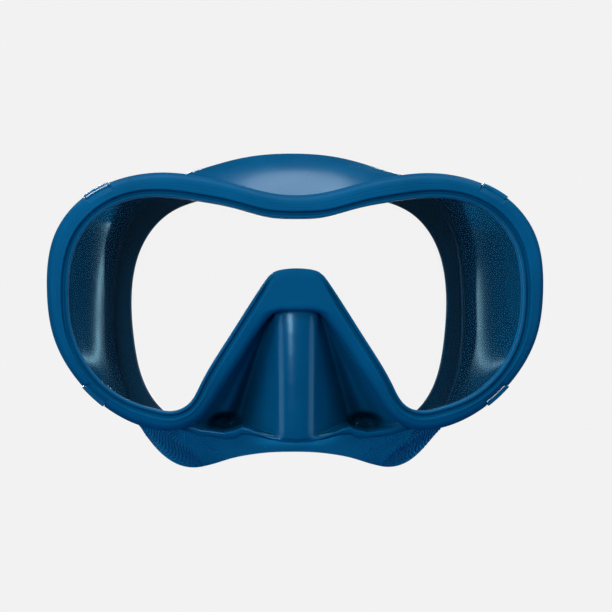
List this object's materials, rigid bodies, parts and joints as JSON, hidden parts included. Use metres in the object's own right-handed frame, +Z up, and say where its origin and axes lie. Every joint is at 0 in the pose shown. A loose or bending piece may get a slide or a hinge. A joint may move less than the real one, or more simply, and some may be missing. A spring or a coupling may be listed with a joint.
{
  "type": "diving mask",
  "caption": "Low-volume diving mask: one curved-edge glass lens in a thick silicone rim and skirt with a nose pocket, and a swivelling strap buckle at each temple.",
  "frame": {"origin": "on the front face of the bridge plate, midway across the mask", "axes": "+X to the right seen from in front, +Y from the lens towards the wearer's face, +Z up"},
  "size_m": [0.175, 0.0765, 0.1146],
  "materials": {
    "silicone": "satin, opaque blue",
    "glass": "clear tempered",
    "hard_plastic": "glossy blue",
    "buckle_plastic": "fine matte, dark blue",
    "steel": "stainless"
  },
  "bodies": {
    "mask": {"lens": "glass", "inner_frame": "hard_plastic", "front_rim": "silicone", "nose_pocket": "silicone", "skirt": "silicone", "face_seal": "silicone", "strap_mount_left": "buckle_plastic", "swivel_pin_left": "steel", "strap_mount_right": "buckle_plastic", "swivel_pin_right": "steel"},
    "yoke_left": {"swivel_yoke_left": "buckle_plastic", "fold_pin_left": "steel"},
    "buckle_left": {"buckle_body_left": "buckle_plastic", "roller_axle_left": "steel", "lever_pin_left": "steel", "lever_spring_left": "steel"},
    "roller_left": {"strap_roller_left": "buckle_plastic"},
    "lever_left": {"release_lever_left": "buckle_plastic"},
    "yoke_right": {"swivel_yoke_right": "buckle_plastic", "fold_pin_right": "steel"},
    "buckle_right": {"buckle_body_right": "buckle_plastic", "roller_axle_right": "steel", "lever_pin_right": "steel", "lever_spring_right": "steel"},
    "roller_right": {"strap_roller_right": "buckle_plastic"},
    "lever_right": {"release_lever_right": "buckle_plastic"}
  },
  "joints": [
    {"name": "buckle_swivel_left", "type": "hinge", "parent": "mask", "child": "yoke_left", "pos_m": [-0.0827, 0.021, 0.003], "axis": [1, 0, 0], "range_deg": [-35, 35]},
    {"name": "buckle_fold_left", "type": "hinge", "parent": "yoke_left", "child": "buckle_left", "pos_m": [-0.0827, 0.033, 0.003], "axis": [0, 0, 1], "range_deg": [-12, 75]},
    {"name": "roller_spin_left", "type": "hinge", "parent": "buckle_left", "child": "roller_left", "pos_m": [-0.0825, 0.053, 0.003], "axis": [0, 0, 1], "continuous": true},
    {"name": "lever_release_left", "type": "hinge", "parent": "buckle_left", "child": "lever_left", "pos_m": [-0.0842, 0.044, 0.003], "axis": [0, 0, 1], "range_deg": [0, 25], "stiffness_Nm_per_rad": 0.05, "springref_deg": -5.73},
    {"name": "buckle_swivel_right", "type": "hinge", "parent": "mask", "child": "yoke_right", "pos_m": [0.0827, 0.021, 0.003], "axis": [1, 0, 0], "range_deg": [-35, 35]},
    {"name": "buckle_fold_right", "type": "hinge", "parent": "yoke_right", "child": "buckle_right", "pos_m": [0.0827, 0.033, 0.003], "axis": [0, 0, -1], "range_deg": [-12, 75]},
    {"name": "roller_spin_right", "type": "hinge", "parent": "buckle_right", "child": "roller_right", "pos_m": [0.0825, 0.053, 0.003], "axis": [0, 0, 1], "continuous": true},
    {"name": "lever_release_right", "type": "hinge", "parent": "buckle_right", "child": "lever_right", "pos_m": [0.0842, 0.044, 0.003], "axis": [0, 0, -1], "range_deg": [0, 25], "stiffness_Nm_per_rad": 0.05, "springref_deg": -5.73}
  ]
}
